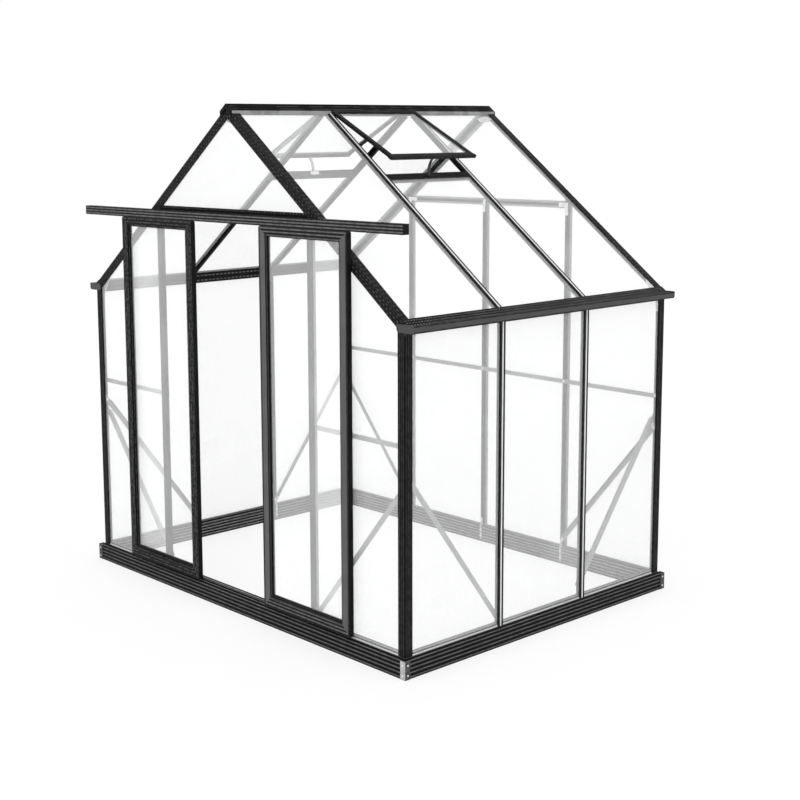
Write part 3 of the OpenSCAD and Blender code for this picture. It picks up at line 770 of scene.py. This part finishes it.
plateBolts = {"plate": 0.002, "ridgeX": 0.032, "ridgeDrop": 0.065, "postHeights": (1.530, 1.560),
              "postIn": 0.021, "armX": (1.180, 1.215), "armDepth": 0.021}
plateFace = barFace - plateBolts["plate"]
spots = fourWays(plateBolts["ridgeX"], plateFace, ridgeZ - plateBolts["ridgeDrop"])
for z in plateBolts["postHeights"]:
    spots += fourWays(wallX - plateBolts["postIn"], plateFace, z)
for x in plateBolts["armX"]:
    spots += fourWays(x, plateFace, roofHeight(x, plateBolts["armDepth"]))
places = [turnedTo(spot, (0, -spot[1], 0)) for spot in spots]
finishPiece(copiesTo(boltMaster, "gable_plate_bolts", places), brightMetal)

braceBolts = {"fromEnd": 0.010, "brace": 0.003, "footZone": 0.1}
braceFoot = averageHeight("wall_braces", lambda point: point.z < baseTop + braceBolts["footZone"])
gableBraceTop = averageHeight("wall_braces", lambda point: abs(point.x) > braceHigh.x - near)
sideBraceTop = averageHeight("wall_braces", lambda point: abs(point.y) > braceHigh.y - near)


def braceSpot(start, end, top, share):
    return start + (end - start) * share, top + (braceFoot - top) * share


places = []
for start, end, top in ((braceHigh.x, gablePitch, gableBraceTop), (braceHigh.y, sideY, sideBraceTop)):
    onGable = top == gableBraceTop
    wall = (barFace if onGable else sideFace) - braceBolts["brace"]
    share = braceBolts["fromEnd"] / (start - end)
    for along, height in (braceSpot(start, end, top, share), braceSpot(start, end, top, 1 - share)):
        for a, b, z in fourWays(along, wall, height):
            places.append(turnedTo((a, b, z), (0, -b, 0)) if onGable else turnedTo((b, a, z), (-b, 0, 0)))
finishPiece(copiesTo(boltMaster, "brace_bolts", places), brightMetal)

flangeLook = {"depth": 0.012, "thick": 0.002, "round": 0.0072, "fromTop": 0.030, "fromFoot": 0.008,
              "halfWidth": 0.013, "lift": 0.0003}


def braceFlange(start, end, top, wall):   # the turned-in upper edge of a brace on an end wall
    down = Vector((end - start, 0, braceFoot - top))
    length, along = down.length, down.normalized()
    upwards = Vector((-along.z, 0, along.x)) * math.copysign(1, along.x)
    flange = startBlock("flange", (flangeLook["fromTop"], 0, -flangeLook["thick"]),
                        (length - flangeLook["fromFoot"], flangeLook["depth"], 0))
    shaping(flange)
    pickEdges(flange, "z", lambda middle: middle.y > flangeLook["depth"] - hair)
    roundOff(flangeLook["round"])
    shaped()
    face = wall - braceBolts["brace"] - flangeLook["lift"]
    origin = Vector((start, face, top)) + upwards * flangeLook["halfWidth"]
    turned = Matrix((along, -outward, upwards)).transposed()
    return moveTo(flange, Matrix.Translation(origin) @ turned.to_4x4())


gableFlange = braceFlange(braceHigh.x, gablePitch, gableBraceTop, barFace)
sideFlange = braceFlange(braceHigh.y, sideY, sideBraceTop, sideFace)
quarters = [Matrix.Diagonal((a, b, 1, 1)) for a in (-1, 1) for b in (-1, 1)]
swapped = Matrix(((0, 1, 0, 0), (1, 0, 0, 0), (0, 0, 1, 0), (0, 0, 0, 1)))   # X and Y change places
flanges = joinTo(copiesTo(gableFlange, "brace_flanges", quarters),
                 copiesTo(sideFlange, "sideFlanges", [quarter @ swapped for quarter in quarters]))
finishPiece(flanges, greyMetal)
discard(gableFlange, sideFlange)

railBolts = {"endIn": 0.021}
railFace = barFace - (railHigh.y - railLow.y)
places = [turnedTo(spot, (0, -spot[1], 0)) for x in (wallX - railBolts["endIn"], gablePitch)
          for spot in fourWays(x, railFace, railZ)]
places.append(turnedTo((0, railFace, railZ), (0, -1, 0)))
finishPiece(copiesTo(boltMaster, "middle_rail_bolts", places), brightMetal)
print("screws and bolts made")

# cleats that hold the tie rails, and the strip under the rear one, stepped out to lie on the thinner rail
cleatLook = {"thick": 0.002, "halfWidth": 0.011, "legDown": 0.048, "joggle": 0.004, "step": 0.007,
             "arm": 0.040, "round": 0.006, "legBolt": 0.045, "armBolts": (0.018, 0.038)}
half, plateFace = cleatLook["halfWidth"], barFace - cleatLook["thick"]
joggledFace = plateFace + cleatLook["joggle"]
legLow, legHigh = gablePitch - half, gablePitch + half
cleat = startBlock("cleat", (legLow, plateFace, -half - cleatLook["legDown"]), (legHigh, barFace, half))
shaping(cleat)
bpy.ops.mesh.select_all(action="SELECT")
bpy.ops.mesh.bisect(plane_co=(0, 0, -half), plane_no=up)
pickFaces(cleat, Vector((-1, 0, 0)), lambda middle: middle.z > -half)
pushOut(-cleatLook["step"], cleatLook["joggle"], 0)
pushOut(-cleatLook["arm"], 0, 0)
ends = cleatLook["arm"]   # only the ends of the arm and the leg are rounded
pickEdges(cleat, "y", lambda middle: middle.x < legLow - ends or middle.z < -half - ends)
roundOff(cleatLook["round"])
shaped()
spots = [(gablePitch, plateFace, 0), (gablePitch, plateFace, -cleatLook["legBolt"])]
spots += [(legLow - out, joggledFace, 0) for out in cleatLook["armBolts"]]
joinTo(cleat, boltsAt(spots))
places = [Matrix.Translation((0, 0, tieZ if end > 0 else frontTieZ)) @ Matrix.Diagonal((side, end, 1, 1))
          for side in (-1, 1) for end in (-1, 1)]
cleats = copiesTo(cleat, "tie_cleats", places)
discard(cleat)

studLook = {"halfWidth": 0.010, "low": 0.040, "top": 0.005, "rise": 0.006, "upper": 0.030,
            "bolts": (0.032, 0.014)}
studStrip = startBlock("studStrip", (-studLook["halfWidth"], plateFace, tieLow.z - studLook["low"]),
                       (studLook["halfWidth"], barFace, tieLow.z - studLook["top"]))
shaping(studStrip)
pickFaces(studStrip, up)
pushOut(0, cleatLook["joggle"], studLook["rise"])
pushOut(0, 0, studLook["upper"])
shaped()
spots = [(0, plateFace, tieLow.z - down) for down in studLook["bolts"]] + [(0, joggledFace, tieZ)]
joinTo(cleats, studStrip, boltsAt(spots))
finishPiece(cleats, brightMetal)

# strips that hold the feet of the bars to the base
footLook = {"halfWidth": 0.0075, "thick": 0.002, "low": 0.015, "rise": 0.045, "bolts": (0.035, 0.075),
            "upper": 0.030, "round": 0.005, "lift": 0.0005}
thick, bendZ = footLook["thick"], baseTop + footLook["lift"]
baseFace = baseLow.y   # inner face of the rear base rail
strip = startBlock("strip", (-footLook["halfWidth"], baseFace - thick, footLook["low"]),
                   (footLook["halfWidth"], baseFace, bendZ))
shaping(strip)
pickFaces(strip, up)
pushOut(0, 0, thick)   # the bend over the top of the base
pickFaces(strip, outward, lambda middle: middle.z > bendZ + near)
pushOut(0, barFace - baseFace - thick, 0)
pushOut(0, thick, 0)
pickFaces(strip, up, lambda middle: middle.y > barFace - thick)
pushOut(0, 0, footLook["rise"])
pickEdges(strip, "y", lambda middle: middle.z > bendZ + thick + hair or middle.z < footLook["low"] + hair)
roundOff(footLook["round"])
shaped()
spots = [(0, baseFace - thick, z) for z in footLook["bolts"]]
spots.append((0, barFace - thick, baseTop + footLook["upper"]))
bolts = boltsAt(spots)
places = [Matrix.Translation((x, 0, 0)) for x in (-gablePitch, 0, gablePitch)]
places += [Matrix.Translation((x, 0, 0)) @ Matrix.Diagonal((1, -1, 1, 1)) for x in (-gablePitch, gablePitch)]
toSide = Matrix.Translation((sideFace - barFace, 0, 0)) @ Matrix.Rotation(-math.pi / 2, 4, "Z")
places += [Matrix.Diagonal((side, 1, 1, 1)) @ Matrix.Translation((0, y, 0)) @ toSide
           for side in (-1, 1) for y in (-sideY, sideY)]
finishPiece(copiesTo(strip, "foot_strips", places), stripMetal)
finishPiece(copiesTo(bolts, "foot_strip_bolts", places), brightMetal)
discard(strip, bolts)
print("cleats and foot strips made")

# how the right vent and its sill lie
ventBars = [point for point in points("vent_end_bars") if point.x > 0]
ventStart = min(point.x for point in ventBars)
ventFoot = min(point.z for point in ventBars if point.x < ventStart + near)
ventEdge = min(point.z for point in ventBars if point.x > ventHigh.x - near)
ventFall = (ventFoot - ventEdge) / (ventHigh.x - ventStart)
sillInner = min(point.x for point in points("vent_sills") if point.x > 0)
sillOuter = corners("vent_sills")[1].x

stayLook = {"halfWidth": 0.009, "thick": 0.003, "bow": 0.012, "steps": 8, "fromEdge": 0.012, "sunk": 0.001,
            "strapHalf": 0.0065, "strapThick": 0.0012, "slotIn": 0.0028, "start": 0.001}
stayLow = Vector(((sillInner + sillOuter) / 2, 0, 0))
stayLow.z = roofHeight(stayLow.x) - stayLook["sunk"]
stayHigh = Vector((ventHigh.x - stayLook["fromEdge"], 0, 0))
stayHigh.z = ventFoot - ventFall * (stayHigh.x - ventStart) + stayLook["sunk"]
chord = stayHigh - stayLow
radius = chord.length ** 2 / (8 * stayLook["bow"]) + stayLook["bow"] / 2
turn = 2 * math.asin(chord.length / 2 / radius)
centre = (stayHigh + stayLow) / 2 + Vector((chord.z, 0, -chord.x)).normalized() * (radius - stayLook["bow"])
first = (stayHigh - centre).normalized()
stayPlace = Matrix.Translation(centre) @ Matrix((
    (first.x, 0, -first.z, 0), (0, 1, 0, 0), (first.z, 0, first.x, 0), (0, 0, 0, 1)))


def bowedBar(name, halfWidth, inner, outer):   # bent round the origin, from the X axis upwards
    bar = startBlock(name, (inner, -halfWidth, -stayLook["start"]), (outer, halfWidth, 0))
    shaping(bar)
    pickFaces(bar, up)
    bpy.ops.mesh.spin(steps=stayLook["steps"], angle=turn, center=(0, 0, 0), axis=(0, 1, 0))
    shaped()
    return bar


stay = bowedBar("vent_stays_bowed", stayLook["halfWidth"], radius - stayLook["thick"], radius)
moveTo(stay, stayPlace)
mirrorPiece(stay, True, False)
finishPiece(stay, darkBolt)
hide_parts("vent_stays")

strap = bowedBar("vent_stay_straps", stayLook["strapHalf"], radius, radius + stayLook["strapThick"])
shaping(strap)
stepTurn = turn / stayLook["steps"]
for number in range(stayLook["steps"]):   # a slot in every segment
    angle = (number + 0.5) * stepTurn
    along = Vector((math.cos(angle), 0, math.sin(angle)))
    pick(strap, "FACE", lambda face: abs(face.normal.dot(along)) > alike["slot"]
         and middleOf(face).normalized().dot(along) > math.cos(stepTurn / 4))
    bpy.ops.mesh.inset(thickness=stayLook["slotIn"], use_individual=True)
    bpy.ops.mesh.bridge_edge_loops()
shaped()
moveTo(strap, stayPlace)

plateLook = {"halfLength": 0.030, "halfHeight": 0.009, "thick": 0.002, "bolt": 0.019, "round": 0.004,
             "depth": 0.010}
plateX, plateZ = sillInner - plateLook["thick"], roofHeight(sillInner, plateLook["depth"])
footPlate = startBlock("footPlate", (plateX, -plateLook["halfLength"], plateZ - plateLook["halfHeight"]),
                       (sillInner, plateLook["halfLength"], plateZ + plateLook["halfHeight"]))
shaping(footPlate)
pickEdges(footPlate, "x", lambda middle: True)
roundOff(plateLook["round"])
shaped()
joinTo(strap, footPlate, boltsAt([(plateX, a * plateLook["bolt"], plateZ) for a in (-1, 1)], (-1, 0, 0)))
mirrorPiece(strap, True, False)
finishPiece(strap, brightMetal)

# blunt tips on the lower bar of each vent
tipLook = {"length": 0.024, "height": 0.016, "out": 0.006, "edge": 0.002, "dome": 0.001, "back": 0.001,
           "lift": 0.0005}
tip = startBlock("vent_bar_tips", (-tipLook["length"], ventHigh.y, 0),
                 (0, ventHigh.y + tipLook["out"], tipLook["height"]))
shaping(tip)
pickFaces(tip, outward)
insetBy(tipLook["edge"], (0, tipLook["dome"], 0))
shaped()
moveTo(tip, Matrix.Translation((ventHigh.x - tipLook["back"], 0, ventEdge + tipLook["lift"]))
       @ Matrix.Rotation(math.atan(ventFall), 4, "Y"))
mirrorPiece(tip, True, True)
finishPiece(tip, blackVents)
print("vent fittings made")

# end caps of the ridge and the gutters
endLook = {"halfWidth": 0.047, "over": 0.011, "under": 0.010, "thick": 0.005, "edge": 0.0012,
           "blockUnder": 0.1, "blockOver": 0.05}
ridgeEndFace = ridgeHigh.y + endLook["thick"]
ridgeEnd = startBlock("ridge_ends", (0, ridgeHigh.y, ridgeZ - endLook["blockUnder"]),
                      (endLook["halfWidth"], ridgeEndFace, ridgeZ + endLook["blockOver"]))
shaping(ridgeEnd)
cutAway((0, 0, roofHeight(0, -endLook["over"])), (roofFall, 0, 1))
cutAway((0, 0, roofHeight(0, endLook["under"])), (-roofFall, 0, -1))
pick(ridgeEnd, "EDGE", lambda edge: all(corner.co.y > ridgeEndFace - hair for corner in edge.verts)
     and any(corner.co.x > hair for corner in edge.verts))
roundOff(endLook["edge"], 2)
shaped()
mirrorPiece(ridgeEnd, True, True)
finishPiece(ridgeEnd, blackVents)

capLook = {"in": 0.046, "over": 0.001, "thick": 0.005, "round": 0.014, "rim": 0.003, "sunk": 0.0012}
capFace, over = gutterHigh.y + capLook["thick"], capLook["over"]
gutterEnd = startBlock("gutter_end_caps", (wallX - capLook["in"], gutterHigh.y, gutterFloor - over),
                       (gutterHigh.x + over, capFace, gutterLip + over))
shaping(gutterEnd)
pickEdges(gutterEnd, "y", lambda middle: middle.z < gutterFloor)
roundOff(capLook["round"], 5)
pickFaces(gutterEnd, outward)
insetBy(capLook["rim"])
pushOut(0, -capLook["sunk"], 0)
shaped()
mirrorPiece(gutterEnd, True, True)
finishPiece(gutterEnd, endCapPlastic)
print("end caps made")

# rubber round the door panes, and a brush along the top of each door
gasketLook = {"width": 0.005, "proud": 0.002}
brushLook = {"height": 0.0045, "backHeight": 0.0015, "inset": 0.001}
for body in ("left_door", "right_door"):
    low, high = corners(body + "_panel")
    gasket = startBlock(body + "_gasket", (low.x, low.y - gasketLook["proud"], low.z),
                        (high.x, high.y + gasketLook["proud"], high.z))
    shaping(gasket)
    pick(gasket, "FACE", lambda face: abs(face.normal.y) > alike["face"])
    bpy.ops.mesh.inset(thickness=gasketLook["width"], use_individual=True)
    bpy.ops.mesh.bridge_edge_loops()
    shaped()
    finishPiece(gasket, blackRubber, body)

for body in ("left_door", "right_door"):
    low, high = corners(body + "_rails")
    inset, backHeight = brushLook["inset"], brushLook["backHeight"]
    brush = startBlock(body + "_brush", (low.x + inset, low.y + inset, high.z),
                       (high.x - inset, high.y - inset, high.z + backHeight))
    shaping(brush)
    pickFaces(brush, up)
    insetBy(inset)
    pushOut(0, 0, brushLook["height"] - backHeight)
    shaped()
    finishPiece(brush, blackRubber, body)

# trims along the feet of the wall panes
trimLook = {"outer": 0.003, "inner": 0.006, "low": sideLow.z, "height": 0.0065, "gap": 0.001, "edge": 0.0008}
trims = []


def addTrim(start, end, wall, place, sides=(-1, 1)):
    outer, top = wall - trimLook["outer"], trimLook["low"] + trimLook["height"]
    trim = startBlock("trim", (start + trimLook["gap"], wall - trimLook["inner"], trimLook["low"]),
                      (end - trimLook["gap"], outer, top))
    shaping(trim)
    pickEdges(trim, "x", lambda middle: middle.y > outer - hair and middle.z > top - hair)
    roundOff(trimLook["edge"], 2)
    shaped()
    trims.append(copiesTo(trim, "trim", [place @ Matrix.Diagonal((side, 1, 1, 1)) for side in sides]))
    discard(trim)


halfBar, front, rear = barWidth / 2, Matrix.Diagonal((1, -1, 1, 1)), Matrix.Identity(4)
addTrim(gablePitch + halfBar, wallX - cornerWidth, wallY, front)
addTrim(gablePitch + halfBar, wallX - cornerWidth, wallY, rear)
addTrim(halfBar, gablePitch - halfBar, wallY, rear)
for side in (1, -1):
    toSide = Matrix.Rotation(side * math.pi / 2, 4, "Z")
    addTrim(halfBar - sideY, sideY - halfBar, wallX, toSide, sides=(1,))
    addTrim(sideY + halfBar, wallY - cornerWidth, wallX, toSide)
finishPiece(joinTo(*trims), sillTrim)
trims[0].name = "pane_foot_trims"
discard(screwMaster, boltMaster)
print("gaskets and trims made")

# a white floor and sky, with a soft sun
studio = {"floorSize": 60, "floorColour": grey(0.9), "floorShade": grey(0.26), "floorGlow": 0.74, "sky": 1.0,
          "sun": 0.35, "sunAngle": 40, "sunTilt": 48, "sunTurn": 20}


def seenDirectly(tree):   # 1 where it is seen or mirrored, also through a sheet, and 0 for its light
    rays = addNode(tree, "ShaderNodeLightPath").outputs
    shown = calc(tree, "MAXIMUM", rays["Is Camera Ray"], rays["Is Glossy Ray"])
    return calc(tree, "MAXIMUM", shown, rays["Is Transmission Ray"])


bpy.ops.object.select_all(action="DESELECT")
bpy.ops.mesh.primitive_plane_add(size=studio["floorSize"], location=(0, 0, 0))
floor = bpy.context.active_object
floor.name = "studioFloor"
floorMaterial = bpy.data.materials.new("paleFloor")
floorMaterial.use_nodes = True
tree = floorMaterial.node_tree
tree.nodes.remove(tree.nodes["Principled BSDF"])
lit = addNode(tree, "ShaderNodeBsdfDiffuse")
lit.inputs["Color"].default_value = studio["floorColour"]
dim = addNode(tree, "ShaderNodeBsdfDiffuse")
dim.inputs["Color"].default_value = studio["floorShade"]
glow = addNode(tree, "ShaderNodeEmission")
glow.inputs["Strength"].default_value = studio["floorGlow"]
both = addNode(tree, "ShaderNodeAddShader")
choose = addNode(tree, "ShaderNodeMixShader")
for source, socket in ((dim.outputs[0], both.inputs[0]), (glow.outputs[0], both.inputs[1]),
                       (seenDirectly(tree), choose.inputs[0]), (lit.outputs[0], choose.inputs[1]),
                       (both.outputs[0], choose.inputs[2]),
                       (choose.outputs[0], tree.nodes["Material Output"].inputs["Surface"])):
    tree.links.new(source, socket)
floor.data.materials.append(floorMaterial)

world = bpy.data.worlds.new("studioLight")
bpy.context.scene.world = world
world.use_nodes = True
tree = world.node_tree
backdrop = tree.nodes["Background"]
backdrop.inputs["Color"].default_value = grey(1)
tree.links.new(ramp(tree, seenDirectly(tree), 0, 1, studio["sky"], 1.0), backdrop.inputs["Strength"])

sunDirection = (math.radians(studio["sunTilt"]), 0, math.radians(studio["sunTurn"]))
bpy.ops.object.light_add(type="SUN", rotation=sunDirection)
sun = bpy.context.active_object
sun.name = "softSun"
sun.data.energy = studio["sun"]
sun.data.angle = math.radians(studio["sunAngle"])

view = {"position": (5.6562, -5.2231, 2.4462), "azimuth": 48.89, "elevation": 8.51, "roll": -0.536,
        "lens": 63.56, "shiftX": 0.0875, "shiftY": -0.0678}
azimuth, elevation, roll = (math.radians(view[key]) for key in ("azimuth", "elevation", "roll"))
bpy.ops.object.camera_add()
camera = bpy.context.active_object
camera.name = "photoView"
camera.matrix_world = (Matrix.Translation(view["position"]) @ Matrix.Rotation(azimuth, 4, "Z")
                       @ Matrix.Rotation(math.pi / 2 - elevation, 4, "X") @ Matrix.Rotation(roll, 4, "Z"))
camera.data.lens = view["lens"]
camera.data.shift_x, camera.data.shift_y = view["shiftX"], view["shiftY"]
bpy.context.scene.camera = camera
bpy.context.scene.view_settings.view_transform = "Standard"
bpy.context.scene.cycles.transparent_max_bounces = 32
print("floor, lights and camera set")
